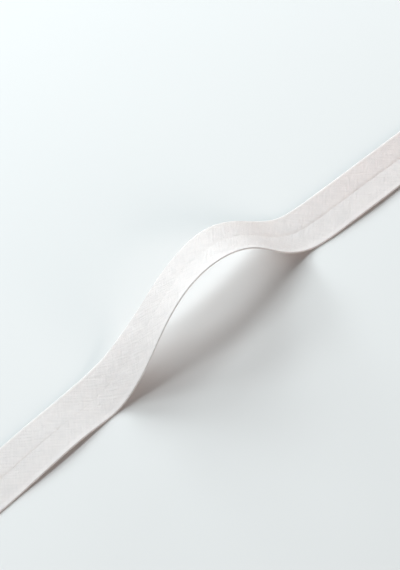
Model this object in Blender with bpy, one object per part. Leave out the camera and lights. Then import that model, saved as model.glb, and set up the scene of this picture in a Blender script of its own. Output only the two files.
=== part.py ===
# A cut length of single-fold bias tape lying on a flat surface, with one hump in it.
# It is one strip of plain cloth, cut on the bias and pressed so that both long sides
# are turned in on top and their raw edges meet along a centre line.
# X runs along the tape, the near side faces -Y and the far side faces +Y.
# Sizes are in millimetres here and become metres when the mesh is made.

import math
from collections import namedtuple

import bpy
import numpy as np

METRES_PER_MM = 0.001

# The finished tape
WIDTH = 20.0            # from folded edge to folded edge
LENGTH = 300.0          # along the cloth, from cut end to cut end
THICKNESS = 1.0         # base layer and turned-in sides together
GROOVE_WIDTH = 0.9      # the centre line where the two raw edges meet
GROOVE_DEPTH = 0.35
GROOVE_FLOOR = 0.5      # share of the groove's width that its floor takes

# How finely the solid is stepped
ALONG_STEP = 2.5        # from one section to the next
FOLD_STEPS = 4          # round each folded edge
FLAT_POINT = 5.0        # extra points on the flats, this far from the centre line

# The way it lies: a row for each place where an edge leaves the surface.
# Middle, before and after are stations along the tape from its left end: the lift
# starts at middle - before, is highest at middle and ends at middle + after.
Lift = namedtuple("Lift", "edge height middle before after")
LIFTS = (
    Lift(edge="near", height=27.5, middle=153.0, before=63.5, after=64.0),
    Lift(edge="far", height=19.0, middle=165.0, before=71.0, after=50.0),
    Lift(edge="near", height=1.3, middle=69.0, before=33.0, after=24.0),
    Lift(edge="near", height=0.8, middle=247.0, before=36.0, after=33.0),
)
# The hump also sways towards the far side
SWAY = Lift(edge="both", height=5.0, middle=169.0, before=63.0, after=59.0)

# The flat stretches on either side of the hump aren't quite in line
TURN_ANGLE = math.radians(2.0)      # heading of each stretch, one up and one down
TURN_MIDDLE = 165.0
TURN_EASE = 20.0                    # length over which the heading changes

CLOTH_COLOUR = (0.83, 0.79, 0.76)   # pale pinkish white
CLOTH_ROUGHNESS = 0.9


def bell(stations, lift):
    """A smooth rise and fall along the tape, zero outside its own stretch."""
    reach = np.where(stations < lift.middle, lift.before, lift.after)
    offset = (stations - lift.middle) / reach
    return lift.height * np.maximum(0.0, 1.0 - offset ** 2) ** 2


def edge_height(stations, edge):
    """How far an edge's underside is above the surface."""
    return sum(bell(stations, lift) for lift in LIFTS if lift.edge == edge)


def sideways(stations):
    """How far the middle of the tape is from the X axis."""
    past_turn = stations - TURN_MIDDLE
    turn = -math.tan(TURN_ANGLE) * (np.hypot(past_turn, TURN_EASE) - TURN_EASE)
    return turn + bell(stations, SWAY)


def lying_frames():
    """For each section: the middle of its underside, and unit vectors across and up."""
    stations = np.linspace(0.0, LENGTH, round(LENGTH / ALONG_STEP) + 1)
    near = edge_height(stations, "near")
    far = edge_height(stations, "far")
    side_slope = np.gradient(sideways(stations), stations)
    up_slope = np.gradient((near + far) / 2, stations)
    forward_slope = np.sqrt(1.0 - side_slope ** 2 - up_slope ** 2)

    steps = np.diff(stations)
    forward = np.concatenate([[0.0], np.cumsum(steps * (forward_slope[1:] + forward_slope[:-1]) / 2)])
    middle = np.stack([forward, sideways(stations), (near + far) / 2], axis=1)

    # The tape keeps its width and stays square to its own run while one edge is higher
    run = np.stack([forward_slope, side_slope, up_slope], axis=1)
    level_run = np.hypot(forward_slope, side_slope)
    rise = (far - near) / WIDTH
    along = -rise * up_slope / level_run
    level = np.sqrt(1.0 - rise ** 2 - along ** 2)
    across = np.stack([
        (along * forward_slope - level * side_slope) / level_run,
        (along * side_slope + level * forward_slope) / level_run,
        rise,
    ], axis=1)
    return middle, across, np.cross(run, across)


def section_outline():
    """Points round one section: distance across from the middle, height over the underside."""
    radius = THICKNESS / 2
    fold_middle = WIDTH / 2 - radius
    quarter_turn = math.pi / 2
    half_turn = np.linspace(-quarter_turn, quarter_turn, FOLD_STEPS + 1)
    far_fold = [(fold_middle + radius * math.cos(t), radius + radius * math.sin(t)) for t in half_turn]
    near_fold = [(-across, THICKNESS - up) for across, up in far_fold]
    half_groove = GROOVE_WIDTH / 2
    floor = half_groove * GROOVE_FLOOR
    top = [
        (FLAT_POINT, THICKNESS),
        (half_groove, THICKNESS),
        (floor, THICKNESS - GROOVE_DEPTH),
        (-floor, THICKNESS - GROOVE_DEPTH),
        (-half_groove, THICKNESS),
        (-FLAT_POINT, THICKNESS),
    ]
    underside = [(-FLAT_POINT, 0.0), (0.0, 0.0), (FLAT_POINT, 0.0)]
    return np.array(far_fold + top + near_fold + underside)


def tape_points():
    """Every point of the solid as sections x outline points, centred over the origin."""
    middle, across, up = lying_frames()
    outline = section_outline()
    points = (
        middle[:, None, :]
        + outline[None, :, 0, None] * across[:, None, :]
        + outline[None, :, 1, None] * up[:, None, :]
    )
    lowest = points.min(axis=(0, 1))
    highest = points.max(axis=(0, 1))
    centre = (lowest + highest) / 2
    return points - np.array([centre[0], centre[1], lowest[2]])


def tape_faces(sections, ring):
    """Quads from each section to the next, and one face over each cut end."""
    faces = []
    for section in range(sections - 1):
        here = section * ring
        there = here + ring
        for corner in range(ring):
            following = (corner + 1) % ring
            faces.append((here + corner, here + following, there + following, there + corner))
    left_end = tuple(reversed(range(ring)))
    right_end = tuple(range((sections - 1) * ring, sections * ring))
    return faces + [left_end, right_end]


def cloth_material():
    material = bpy.data.materials.new("tape_cloth")
    material.use_nodes = True
    surface = material.node_tree.nodes["Principled BSDF"]
    surface.inputs["Base Color"].default_value = (*CLOTH_COLOUR, 1.0)
    surface.inputs["Roughness"].default_value = CLOTH_ROUGHNESS
    surface.inputs["Metallic"].default_value = 0.0
    return material


def make_tape():
    points = tape_points()
    sections, ring = points.shape[:2]
    mesh = bpy.data.meshes.new("bias_tape")
    flat_points = (points * METRES_PER_MM).reshape(-1, 3).tolist()
    mesh.from_pydata(flat_points, [], tape_faces(sections, ring))
    mesh.shade_smooth()
    mesh.set_sharp_from_angle(angle=math.radians(50.0))
    mesh.materials.append(cloth_material())
    tape = bpy.data.objects.new("bias_tape", mesh)
    bpy.context.scene.collection.objects.link(tape)


def main():
    for leftover in list(bpy.data.objects):
        bpy.data.objects.remove(leftover, do_unlink=True)
    make_tape()


main()
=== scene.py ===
# The looks of a cut length of single-fold bias tape that lies on a pale table with one hump.
# The tape is modelled as its real folded strip: a base layer, two pressed folds, and two
# turned-in sides whose raw edges meet along the centre line.
# Lengths are in millimetres until METRES_PER_MM turns them into metres.

import math
from collections import namedtuple

import bpy
import numpy as np
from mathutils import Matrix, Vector

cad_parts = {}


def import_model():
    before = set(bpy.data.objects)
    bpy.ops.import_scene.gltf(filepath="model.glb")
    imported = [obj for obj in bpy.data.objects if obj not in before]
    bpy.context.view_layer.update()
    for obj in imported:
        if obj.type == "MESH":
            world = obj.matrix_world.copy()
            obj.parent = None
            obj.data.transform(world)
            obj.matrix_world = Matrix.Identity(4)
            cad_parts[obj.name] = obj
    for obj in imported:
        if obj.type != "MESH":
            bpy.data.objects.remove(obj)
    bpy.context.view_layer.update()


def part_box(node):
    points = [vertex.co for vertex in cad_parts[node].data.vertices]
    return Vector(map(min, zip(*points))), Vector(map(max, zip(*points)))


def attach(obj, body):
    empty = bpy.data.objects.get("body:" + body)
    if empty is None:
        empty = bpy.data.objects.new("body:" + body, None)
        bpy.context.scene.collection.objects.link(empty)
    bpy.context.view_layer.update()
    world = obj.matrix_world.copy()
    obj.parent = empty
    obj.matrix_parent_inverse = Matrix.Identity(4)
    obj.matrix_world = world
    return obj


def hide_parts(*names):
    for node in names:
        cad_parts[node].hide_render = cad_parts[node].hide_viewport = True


METRES_PER_MM = 0.001
NODE = "bias_tape"

# The finished tape
WIDTH = 20.0                # from folded edge to folded edge
LENGTH = 300.0              # along the cloth, from cut end to cut end
CLOTH = 0.28                # thickness of one layer
NEAR_FOLD = 0.64            # thickness at the near folded edge, which is pressed sharp
FAR_FOLD = 0.95             # and at the far one, which stays a little springy
MEETING = 0.62              # thickness at the centre line, where the layers lie close
FOLD_EASE = 0.15            # share of a turned-in side over which it bends down from its fold
NEAR_ROLL = 0.38            # how far in from its fold each side is still rounded
FAR_ROLL = 0.95
NEAR_DROP = 0.02            # how far each pressed raw edge bends down beside the centre line
FAR_DROP = 0.15
DROP_REACH = 1.9            # and over what width
HALF_GAP = 0.025            # half the gap between the raw edges

# The way it lies, as in the CAD solid: a row for each place where an edge leaves the table
Lift = namedtuple("Lift", "edge height middle before after")
LIFTS = (
    Lift(edge="near", height=27.5, middle=153.0, before=63.5, after=64.0),
    Lift(edge="far", height=19.0, middle=165.0, before=71.0, after=50.0),
    Lift(edge="near", height=1.3, middle=69.0, before=33.0, after=24.0),
    Lift(edge="near", height=0.8, middle=247.0, before=36.0, after=33.0),
)
SWAY = Lift(edge="both", height=5.0, middle=169.0, before=63.0, after=59.0)
TURN_ANGLE = math.radians(2.0)
TURN_MIDDLE = 165.0
TURN_EASE = 20.0

# Along the tape: at a station, how far each turned-in side stands off the base at the centre
# line, how much higher than usual the far fold stands, and how far the raw edges bend down,
# as a share of the usual drop
Seam = namedtuple("Seam", "station near_off far_off fold_lift groove")
SEAMS = (
    Seam(station=0.0, near_off=0.00, far_off=0.16, fold_lift=-0.10, groove=1.0),
    Seam(station=60.0, near_off=0.00, far_off=0.16, fold_lift=-0.10, groove=1.0),
    Seam(station=80.0, near_off=0.08, far_off=0.08, fold_lift=-0.05, groove=0.0),
    Seam(station=104.0, near_off=0.02, far_off=0.00, fold_lift=0.10, groove=0.1),
    Seam(station=118.0, near_off=0.00, far_off=0.02, fold_lift=0.35, groove=0.3),
    Seam(station=142.0, near_off=0.00, far_off=0.02, fold_lift=0.50, groove=0.3),
    Seam(station=154.0, near_off=0.10, far_off=0.02, fold_lift=0.45, groove=0.4),
    Seam(station=188.0, near_off=0.10, far_off=0.06, fold_lift=0.25, groove=0.7),
    Seam(station=212.0, near_off=0.00, far_off=0.12, fold_lift=0.15, groove=1.2),
    Seam(station=300.0, near_off=0.00, far_off=0.12, fold_lift=0.35, groove=1.2),
)

# Unevenness of the pressed cloth: height of each kind, and its usual wavelength
EDGE_WAVER = 0.10           # sideways, of the folded edges
EDGE_WAVER_LENGTH = 28.0
SIDE_RIPPLE = 0.045         # up and down, of the turned-in sides
SIDE_RIPPLE_LENGTH = 9.0
RAW_EDGE_JITTER = 0.02      # sideways, of the cut threads at the centre line

# How finely the strip is stepped
ALONG_STEP = 0.75
BASE_STEPS = 24
FOLD_STEPS = 6
SIDE_SHARES = (0.0, 0.05, 0.1, 0.17, 0.25, 0.35, 0.46, 0.57,    # from a fold to its raw edge
               0.68, 0.78, 0.86, 0.915, 0.945, 0.97, 0.99, 1.0)

# The weave, a plain one cut on the bias, so both threads run at 45 degrees to the tape
THREAD_PITCH = 0.35
THREAD_RELIEF = 0.05
STREAK_WIDTH = 0.75         # of the thick and thin places that show between the threads
STREAK_LENGTH = 6.0
STREAK_RELIEF = 3.6         # how much higher than a thread the thick places stand
FOLD_RELIEF = 0.15          # share of the relief that is left where the cloth is pressed over
FOLD_CALM = (0.8, 1.8)      # and from the middle of a fold, where it starts and stops rising

# The cloth's colours, and how it takes light
CLOTH_LIGHT = (1.000, 0.990, 0.985)
CLOTH_DARK = (0.845, 0.845, 0.850)
SEE_THROUGH = 0.47          # share of the light that each skin of the cloth lets on
SEE_THROUGH_COLOUR = (0.95, 0.84, 0.79)
FOLD_THROUGH = (0.17, 0.11, 0.09)   # the same at a folded edge, where it goes through more cloth
FOLD_REACH = (0.10, 0.32)   # and from the middle of a fold, where that starts and stops fading
STREAK_SHADE = 0.75         # share of the shading that the thick and thin places make
PATCH_SHADE = 0.25          # and that wide patches make
PATCH_SCALE = 0.12          # patches in a millimetre
PAINTED_HOLLOW_SHADE = 0.35         # painted shade in the hollows between threads: how much darker they are painted
CLOTH_ROUGHNESS = (0.82, 0.95)
CLOTH_SPECULAR = 0.25
CLOTH_SHEEN = 0.15
SHEEN_ROUGHNESS = 0.5
WARM_TINT = (1.000, 0.960, 0.952)   # of the cloth towards the right end, mostly on the far side
WARM_ALONG = (205.0, 245.0)         # stations where it starts and is full
WARM_ACROSS = (9.0, 12.0)           # distances along the cloth between its near and far shares
WARM_NEAR_SHARE = 0.45
SLUB_AT = (90.8, -16.4)     # a lump in a thread: station, and distance along the cloth
SLUB_SIZE = (0.75, 0.50)    # half its length and half its width
SLUB_HEIGHT = 3.0           # in threads' relief

# The table
TABLE_COLOUR = (0.625, 0.618, 0.612)
TABLE_ROUGHNESS = 0.75
TABLE_SPECULAR = 0.2
TABLE_SIZE = 6.0            # in metres

# The light: a tall soft window behind the tape, in a few panes, and a low, warm fill in front.
# Azimuth is from the far side towards the right end; azimuth, elevation and the spread that
# a lamp is seen under are in degrees, distance in metres, and strength is the light that
# reaches a card held square to it.
Lamp = namedtuple("Lamp", "name azimuth elevation spread distance strength colour")
COOL = (0.905, 1.0, 1.03)
WARM = (1.0, 0.88, 0.83)
LAMPS = (
    Lamp("pane_top", 0, 56, 14, 1.5, 0.61, COOL),
    Lamp("pane_upper_left", -60, 44, 14, 1.5, 1.15, COOL),
    Lamp("pane_far_right", 60, 32, 14, 1.5, 1.05, COOL),
    Lamp("pane_right", 30, 32, 14, 1.5, 0.76, COOL),
    Lamp("pane_middle", 0, 32, 14, 1.5, 0.42, COOL),
    Lamp("pane_left", -30, 32, 14, 1.5, 0.90, COOL),
    Lamp("pane_low_right", 30, 20, 14, 1.5, 0.86, COOL),
    Lamp("pane_low_middle", 0, 20, 14, 1.5, 0.80, COOL),
    Lamp("pane_foot", 60, 8, 14, 1.5, 0.45, COOL),
    Lamp("fill_front", 180, 18, 36, 3.0, 2.35, WARM),
)
SKY_COLOUR = (0.95, 0.98, 1.0)
SKY_STRENGTH = 0.07

# The photograph's camera
CAMERA_AZIMUTH = 225.87     # where it stands, in the same terms as the lamps
CAMERA_ELEVATION = 50.0
CAMERA_DISTANCE = 1.2
CAMERA_LENS = 203.3
LOOK_AT = (0.0129, 0.0083, 0.00075)


def bell(stations, lift):
    """A smooth rise and fall along the tape, zero outside its own stretch."""
    reach = np.where(stations < lift.middle, lift.before, lift.after)
    offset = (stations - lift.middle) / reach
    return lift.height * np.maximum(0.0, 1.0 - offset ** 2) ** 2


def edge_height(stations, edge):
    return sum(bell(stations, lift) for lift in LIFTS if lift.edge == edge)


def sideways(stations):
    past_turn = stations - TURN_MIDDLE
    turn = -math.tan(TURN_ANGLE) * (np.hypot(past_turn, TURN_EASE) - TURN_EASE)
    return turn + bell(stations, SWAY)


def lying_frames(stations):
    """For each station: the middle of the underside, and unit vectors across and up."""
    near = edge_height(stations, "near")
    far = edge_height(stations, "far")
    side_slope = np.gradient(sideways(stations), stations)
    up_slope = np.gradient((near + far) / 2, stations)
    forward_slope = np.sqrt(1.0 - side_slope ** 2 - up_slope ** 2)
    steps = np.diff(stations)
    strides = steps * (forward_slope[1:] + forward_slope[:-1]) / 2
    forward = np.concatenate([[0.0], np.cumsum(strides)])
    middle = np.stack([forward, sideways(stations), (near + far) / 2], axis=1)

    run = np.stack([forward_slope, side_slope, up_slope], axis=1)
    level_run = np.hypot(forward_slope, side_slope)
    rise = (far - near) / WIDTH
    along = -rise * up_slope / level_run
    level = np.sqrt(1.0 - rise ** 2 - along ** 2)
    across = np.stack([
        (along * forward_slope - level * side_slope) / level_run,
        (along * side_slope + level * forward_slope) / level_run,
        rise,
    ], axis=1)
    return middle, across, np.cross(run, across)


def along_seam(stations, column):
    """A column of the SEAMS table, read smoothly at every station."""
    rows = np.array([seam.station for seam in SEAMS])
    values = np.array([getattr(seam, column) for seam in SEAMS])
    row = np.clip(np.searchsorted(rows, stations, side="right") - 1, 0, len(rows) - 2)
    share = (stations - rows[row]) / (rows[row + 1] - rows[row])
    ease = share * share * (3.0 - 2.0 * share)
    return values[row] + (values[row + 1] - values[row]) * ease


def waves(along, across, length, seed, count=7):
    """A smooth uneven field, about -1 to 1, made of a few plane waves."""
    draw = np.random.default_rng(seed)
    field = np.zeros(np.broadcast(along, across).shape)
    for _ in range(count):
        heading = draw.uniform(0.0, math.pi)
        turns = 2.0 * math.pi / (length * draw.uniform(0.6, 1.7))
        phase = draw.uniform(0.0, 2.0 * math.pi)
        field += np.sin(turns * (along * math.cos(heading) + across * math.sin(heading)) + phase)
    return field / math.sqrt(count)


def half_section(roll, fold):
    """One half of the strip's middle line, from the tape's centre round the fold to the raw
    edge, as rows of: across, up, outward across, outward up, distance along the cloth, and
    share of the way from the fold to the raw edge. The fold is half an oval, roll wide."""
    fold_start = WIDTH / 2 - roll
    wide, high = roll - CLOTH / 2, (fold - CLOTH) / 2
    rows = []
    for across in np.linspace(0.0, fold_start, BASE_STEPS // 2 + 1)[:-1]:
        rows.append((across, CLOTH / 2, 0.0, -1.0, across, 0.0))
    cloth = fold_start
    before = (fold_start, CLOTH / 2)
    for turn in np.linspace(-math.pi / 2, math.pi / 2, FOLD_STEPS + 1)[:-1]:
        sine, cosine = math.sin(turn), math.cos(turn)
        here = (fold_start + wide * cosine, fold / 2 + high * sine)
        cloth += math.dist(before, here)
        before = here
        out = math.hypot(cosine / wide, sine / high)
        rows.append((*here, cosine / wide / out, sine / high / out, cloth, 0.0))
    cloth += math.dist(before, (fold_start, fold - CLOTH / 2))
    for share in SIDE_SHARES:
        across = fold_start * (1.0 - share)
        rows.append((across, fold - CLOTH / 2, 0.0, 1.0, cloth + fold_start * share, share))
    return np.array(rows)


def strip_section(stations):
    """The whole strip's two skins at every station, from the near raw edge round to the far
    one: across and up of the outer skin and of the inner one, and distance along the cloth."""
    near, far = half_section(NEAR_ROLL, NEAR_FOLD), half_section(FAR_ROLL, FAR_FOLD)
    mirrored = near[:0:-1] * np.array([-1.0, 1.0, -1.0, 1.0, -1.0, 1.0])
    across, up, out_across, out_up, cloth, share = np.concatenate([mirrored, far]).T
    near_side = cloth < 0.0
    fold = np.where(near_side, NEAR_FOLD, FAR_FOLD)
    along = stations[:, None]

    # The turned-in sides end at the gap and stand off a little towards it
    draw = np.random.default_rng(11)
    jitter = draw.uniform(-RAW_EDGE_JITTER, RAW_EDGE_JITTER, (len(stations), 2))
    gap = HALF_GAP + np.where(near_side, jitter[:, :1], jitter[:, 1:])
    off = np.where(
        near_side,
        along_seam(stations, "near_off")[:, None],
        along_seam(stations, "far_off")[:, None],
    )
    ripple = SIDE_RIPPLE * waves(along, cloth[None, :], SIDE_RIPPLE_LENGTH, seed=3)
    across = across + np.sign(cloth) * gap * share ** 3
    slope = np.where(share < FOLD_EASE, share ** 2 / (2 * FOLD_EASE), share - FOLD_EASE / 2)
    up_the_fold = np.clip((up - CLOTH / 2) / (FAR_FOLD - CLOTH), 0.0, 1.0)
    lifted = np.where(share > 0.0, 1.0 - share, up_the_fold)
    fold_lift = along_seam(stations, "fold_lift")[:, None] * np.where(near_side, 0.0, lifted)
    up = up - (fold - MEETING) * slope / (1.0 - FOLD_EASE / 2) + fold_lift
    from_raw_edge = (1.0 - share) * WIDTH / 2
    drop = np.where(share > 0.0, np.maximum(0.0, 1.0 - from_raw_edge / DROP_REACH), 0.0)
    groove = along_seam(stations, "groove")[:, None]
    up = up - np.where(near_side, NEAR_DROP, FAR_DROP) * groove * drop ** 2
    up = up + share ** 2 * off + np.sin(math.pi * share) ** 2 * ripple

    # The folded edges waver sideways
    waver = np.where(
        near_side,
        waves(along, 0.0, EDGE_WAVER_LENGTH, seed=5),
        waves(along, 0.0, EDGE_WAVER_LENGTH, seed=8),
    )
    across = across + EDGE_WAVER * waver * (np.abs(across) / (WIDTH / 2)) ** 2

    skin = CLOTH / 2
    outer = np.stack([across + skin * out_across, up + skin * out_up], axis=2)
    inner = np.stack([across - skin * out_across, up - skin * out_up], axis=2)
    return outer, inner, cloth


def placed(section, frames):
    """Section points (stations x columns x 2) as points in the tape's lie."""
    middle, across, up = frames
    return (
        middle[:, None, :]
        + section[:, :, :1] * across[:, None, :]
        + section[:, :, 1:] * up[:, None, :]
    )


def strip_faces(sections, columns):
    """Quads of the closed strip: both skins, both raw edges and both cut ends."""
    ring = 2 * columns
    faces = []
    for section in range(sections - 1):
        here = section * ring
        there = here + ring
        for corner in range(ring):
            following = (corner + 1) % ring
            faces.append((here + corner, there + corner, there + following, here + following))
    last = (sections - 1) * ring
    for column in range(columns - 1):
        outer, inner = column, ring - 1 - column
        faces.append((outer, outer + 1, inner - 1, inner))
        faces.append((last + outer + 1, last + outer, last + inner, last + inner - 1))
    return faces


def to_object(name, points, faces, material):
    mesh = bpy.data.meshes.new(name)
    mesh.from_pydata((points * METRES_PER_MM).tolist(), [], faces)
    mesh.materials.append(material)
    made = bpy.data.objects.new(name, mesh)
    bpy.context.scene.collection.objects.link(made)
    return made


def make_strip(material, stations, frames, shift):
    outer, inner, cloth = strip_section(stations)
    columns = len(cloth)
    skins = np.concatenate([placed(outer, frames), placed(inner, frames)[:, ::-1]], axis=1)
    points = skins.reshape(-1, 3) + shift
    strip = to_object("tape_strip", points, strip_faces(len(stations), columns), material)
    strip.data.shade_smooth()
    strip.data.set_sharp_from_angle(angle=math.radians(50.0))

    # Where each point was on the flat cloth, in millimetres, for the weave
    flat = np.concatenate([cloth, cloth[::-1]])
    on_cloth = np.stack(np.meshgrid(stations, flat, indexing="ij"), axis=2).reshape(-1, 2)
    corners = np.zeros(len(strip.data.loops), dtype=np.int32)
    strip.data.loops.foreach_get("vertex_index", corners)
    layer = strip.data.uv_layers.new(name="cloth_mm")
    layer.uv.foreach_set("vector", on_cloth[corners].astype(np.float32).ravel())
    return strip


class Nodes:
    """Short calls for making shader nodes in one material."""

    def __init__(self, name):
        self.material = bpy.data.materials.new(name)
        self.material.use_nodes = True
        self.tree = self.material.node_tree
        self.surface = self.tree.nodes["Principled BSDF"]

    def feed(self, socket, value):
        if isinstance(value, bpy.types.NodeSocket):
            self.tree.links.new(value, socket)
        else:
            socket.default_value = value

    def math(self, operation, *values):
        node = self.tree.nodes.new("ShaderNodeMath")
        node.operation = operation
        for socket, value in zip(node.inputs, values):
            self.feed(socket, value)
        return node.outputs[0]

    def vector(self, x, y, z=0.0):
        node = self.tree.nodes.new("ShaderNodeCombineXYZ")
        for socket, value in zip(node.inputs, (x, y, z)):
            self.feed(socket, value)
        return node.outputs[0]

    def noise(self, vector, scale, detail=2.0):
        node = self.tree.nodes.new("ShaderNodeTexNoise")
        self.feed(node.inputs["Vector"], vector)
        self.feed(node.inputs["Scale"], scale)
        self.feed(node.inputs["Detail"], detail)
        return node.outputs["Fac"]

    def blend(self, share, first, second):
        node = self.tree.nodes.new("ShaderNodeMix")
        node.data_type = "RGBA"
        self.feed(node.inputs["Factor"], share)
        self.feed(node.inputs["A"], (*first, 1.0) if isinstance(first, tuple) else first)
        self.feed(node.inputs["B"], (*second, 1.0) if isinstance(second, tuple) else second)
        return node.outputs["Result"]

    def tinted(self, share, colour, tint):
        node = self.tree.nodes.new("ShaderNodeMix")
        node.data_type = "RGBA"
        node.blend_type = "MULTIPLY"
        self.feed(node.inputs["Factor"], share)
        self.feed(node.inputs["A"], colour)
        self.feed(node.inputs["B"], (*tint, 1.0))
        return node.outputs["Result"]

    def spread(self, value, low, high, new_low=0.0, new_high=1.0):
        node = self.tree.nodes.new("ShaderNodeMapRange")
        for socket, number in zip(node.inputs, (value, low, high, new_low, new_high)):
            self.feed(socket, number)
        return node.outputs["Result"]


def cloth_material():
    """Plain-weave cotton: threads both ways at 45 degrees to the tape, each a little uneven."""
    nodes = Nodes("tape_cotton")
    place = nodes.tree.nodes.new("ShaderNodeUVMap")
    place.uv_map = "cloth_mm"
    split = nodes.tree.nodes.new("ShaderNodeSeparateXYZ")
    nodes.feed(split.inputs[0], place.outputs[0])
    along, across = split.outputs[0], split.outputs[1]
    to_threads = 1.0 / (math.sqrt(2.0) * THREAD_PITCH)
    warp_run = nodes.math("MULTIPLY", nodes.math("ADD", along, across), to_threads)
    weft_run = nodes.math("MULTIPLY", nodes.math("SUBTRACT", along, across), to_threads)

    # Which thread is on top, and the rounded height of each
    warp_wave = nodes.math("SINE", nodes.math("MULTIPLY", warp_run, math.pi))
    weft_wave = nodes.math("SINE", nodes.math("MULTIPLY", weft_run, math.pi))
    warp_crown = nodes.math("ABSOLUTE", warp_wave)
    weft_crown = nodes.math("ABSOLUTE", weft_wave)
    over = nodes.spread(nodes.math("MULTIPLY", warp_wave, weft_wave), -0.05, 0.05)
    warp_height = nodes.math("MULTIPLY", weft_crown, nodes.math("SQRT", warp_crown))
    weft_height = nodes.math("MULTIPLY", warp_crown, nodes.math("SQRT", weft_crown))
    height = nodes.math(
        "ADD",
        nodes.math("MULTIPLY", warp_height, over),
        nodes.math("MULTIPLY", weft_height, nodes.math("SUBTRACT", 1.0, over)),
    )

    # Thick and thin places, long along the threads and a few threads wide
    thin, long = THREAD_PITCH / STREAK_WIDTH, THREAD_PITCH / STREAK_LENGTH
    warp_streak = nodes.noise(nodes.vector(
        nodes.math("MULTIPLY", warp_run, long), nodes.math("MULTIPLY", weft_run, thin)), 1.0)
    weft_streak = nodes.noise(nodes.vector(
        nodes.math("MULTIPLY", warp_run, thin), nodes.math("MULTIPLY", weft_run, long), 7.0), 1.0)
    streak = nodes.math("MULTIPLY", nodes.math("ADD", warp_streak, weft_streak), 0.5)
    patch = nodes.noise(nodes.vector(along, across), PATCH_SCALE, 3.0)

    shade = nodes.math(
        "ADD",
        nodes.math("MULTIPLY", nodes.spread(streak, 0.35, 0.65), STREAK_SHADE),
        nodes.math("MULTIPLY", nodes.spread(patch, 0.3, 0.7), PATCH_SHADE),
    )
    # Painted shade: the base colour is made darker in the hollows between the threads
    painted_hollow_shade = nodes.math("MULTIPLY", nodes.math("SUBTRACT", 1.0, height), PAINTED_HOLLOW_SHADE)
    light = nodes.math("SUBTRACT", shade, painted_hollow_shade)
    towards_right = nodes.spread(along, *WARM_ALONG)
    on_far_side = nodes.spread(across, *WARM_ACROSS, WARM_NEAR_SHARE, 1.0)
    tint = nodes.math("MULTIPLY", towards_right, on_far_side)
    colour = nodes.tinted(tint, nodes.blend(light, CLOTH_DARK, CLOTH_LIGHT), WARM_TINT)
    nodes.feed(nodes.surface.inputs["Base Color"], colour)
    roughness = nodes.spread(streak, 0.3, 0.7, *CLOTH_ROUGHNESS)
    nodes.feed(nodes.surface.inputs["Roughness"], roughness)
    nodes.surface.inputs["Specular IOR Level"].default_value = CLOTH_SPECULAR
    nodes.surface.inputs["Sheen Weight"].default_value = CLOTH_SHEEN
    nodes.surface.inputs["Sheen Roughness"].default_value = SHEEN_ROUGHNESS

    relief = nodes.tree.nodes.new("ShaderNodeBump")
    relief.inputs["Strength"].default_value = 1.0
    relief.inputs["Distance"].default_value = THREAD_RELIEF * METRES_PER_MM
    slub_along = nodes.math("DIVIDE", nodes.math("SUBTRACT", along, SLUB_AT[0]), SLUB_SIZE[0])
    slub_across = nodes.math("DIVIDE", nodes.math("SUBTRACT", across, SLUB_AT[1]), SLUB_SIZE[1])
    from_slub = nodes.math(
        "ADD",
        nodes.math("MULTIPLY", slub_along, slub_along),
        nodes.math("MULTIPLY", slub_across, slub_across),
    )
    slub = nodes.spread(from_slub, 0.0, 1.0, SLUB_HEIGHT, 0.0)
    uneven = nodes.math("MULTIPLY", nodes.spread(streak, 0.3, 0.7), STREAK_RELIEF)
    raised = nodes.math("ADD", nodes.math("ADD", height, uneven), slub)
    to_fold = nodes.math("SUBTRACT", nodes.math("ABSOLUTE", across), WIDTH / 2)
    from_fold = nodes.math("ABSOLUTE", to_fold)
    calm = nodes.spread(from_fold, *FOLD_CALM, FOLD_RELIEF, 1.0)
    nodes.feed(relief.inputs["Height"], nodes.math("MULTIPLY", raised, calm))
    nodes.feed(nodes.surface.inputs["Normal"], relief.outputs[0])

    # Some light goes through and comes out warmer, and less of it at the folded edges
    through = nodes.tree.nodes.new("ShaderNodeBsdfTranslucent")
    off_fold = nodes.spread(from_fold, *FOLD_REACH)
    nodes.feed(through.inputs["Color"], nodes.blend(off_fold, FOLD_THROUGH, SEE_THROUGH_COLOUR))
    nodes.feed(through.inputs["Normal"], relief.outputs[0])
    both = nodes.tree.nodes.new("ShaderNodeMixShader")
    both.inputs[0].default_value = SEE_THROUGH
    nodes.feed(both.inputs[1], nodes.surface.outputs[0])
    nodes.feed(both.inputs[2], through.outputs[0])
    nodes.feed(nodes.tree.nodes["Material Output"].inputs["Surface"], both.outputs[0])
    return nodes.material


def table_material():
    nodes = Nodes("pale_table")
    nodes.surface.inputs["Base Color"].default_value = (*TABLE_COLOUR, 1.0)
    nodes.surface.inputs["Roughness"].default_value = TABLE_ROUGHNESS
    nodes.surface.inputs["Specular IOR Level"].default_value = TABLE_SPECULAR
    return nodes.material


def make_table():
    half = TABLE_SIZE / 2
    mesh = bpy.data.meshes.new("table")
    corners = [(-half, -half, 0.0), (half, -half, 0.0), (half, half, 0.0), (-half, half, 0.0)]
    mesh.from_pydata(corners, [], [(0, 1, 2, 3)])
    mesh.materials.append(table_material())
    table = bpy.data.objects.new("table", mesh)
    bpy.context.scene.collection.objects.link(table)


def pointing(azimuth, elevation):
    """A unit vector from its azimuth, from +Y towards +X, and elevation, in degrees."""
    azimuth, elevation = math.radians(azimuth), math.radians(elevation)
    level = math.cos(elevation)
    return Vector((math.sin(azimuth) * level, math.cos(azimuth) * level, math.sin(elevation)))


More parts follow.
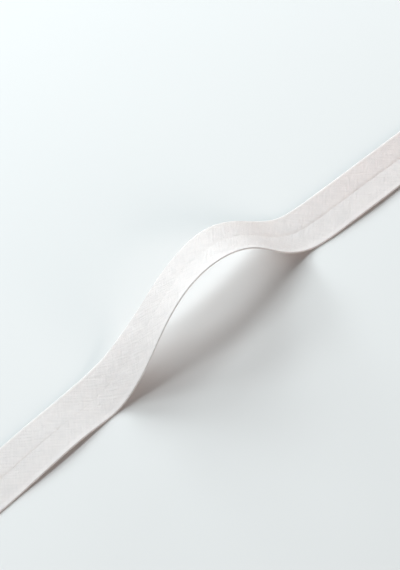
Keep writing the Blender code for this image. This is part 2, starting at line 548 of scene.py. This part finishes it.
def make_light():
    for lamp in LAMPS:
        disc = bpy.data.lights.new(lamp.name, "AREA")
        disc.shape = "DISK"
        disc.size = 2 * lamp.distance * math.tan(math.radians(lamp.spread) / 2)
        disc.energy = lamp.strength * math.pi * lamp.distance ** 2
        disc.color = lamp.colour
        made = bpy.data.objects.new(lamp.name, disc)
        made.visible_camera = False
        towards = pointing(lamp.azimuth, lamp.elevation)
        made.location = towards * lamp.distance
        made.rotation_mode = "QUATERNION"
        made.rotation_quaternion = towards.to_track_quat("Z", "Y")
        bpy.context.scene.collection.objects.link(made)

    world = bpy.data.worlds.new("soft_room")
    bpy.context.scene.world = world
    world.use_nodes = True
    sky = world.node_tree.nodes["Background"]
    sky.inputs["Color"].default_value = (*SKY_COLOUR, 1.0)
    sky.inputs["Strength"].default_value = SKY_STRENGTH


def make_camera():
    camera = bpy.data.objects.new("camera", bpy.data.cameras.new("camera"))
    camera.data.lens = CAMERA_LENS
    camera.data.clip_start = 0.01
    back = pointing(CAMERA_AZIMUTH, CAMERA_ELEVATION)
    camera.location = Vector(LOOK_AT) + CAMERA_DISTANCE * back
    camera.rotation_mode = "QUATERNION"
    camera.rotation_quaternion = back.to_track_quat("Z", "Y")
    bpy.context.scene.collection.objects.link(camera)
    bpy.context.scene.camera = camera


def centring_shift(stations, frames):
    """From the tape's own frame, which starts at its left end, to the CAD solid's frame."""
    edges = np.array([[-WIDTH / 2, 0.0], [WIDTH / 2, 0.0]])
    outline = placed(np.broadcast_to(edges, (len(stations), 2, 2)), frames).reshape(-1, 3)
    low, high = (np.array(corner) / METRES_PER_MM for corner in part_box(NODE))
    shift = (low + high - outline.min(axis=0) - outline.max(axis=0)) / 2
    shift[2] = low[2]
    return shift


def main():
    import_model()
    bpy.context.scene.view_settings.view_transform = "Standard"
    make_camera()
    make_light()
    make_table()

    stations = np.linspace(0.0, LENGTH, round(LENGTH / ALONG_STEP) + 1)
    frames = lying_frames(stations)
    shift = centring_shift(stations, frames)
    strip = make_strip(cloth_material(), stations, frames, shift)
    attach(strip, "root")
    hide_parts(NODE)


main()
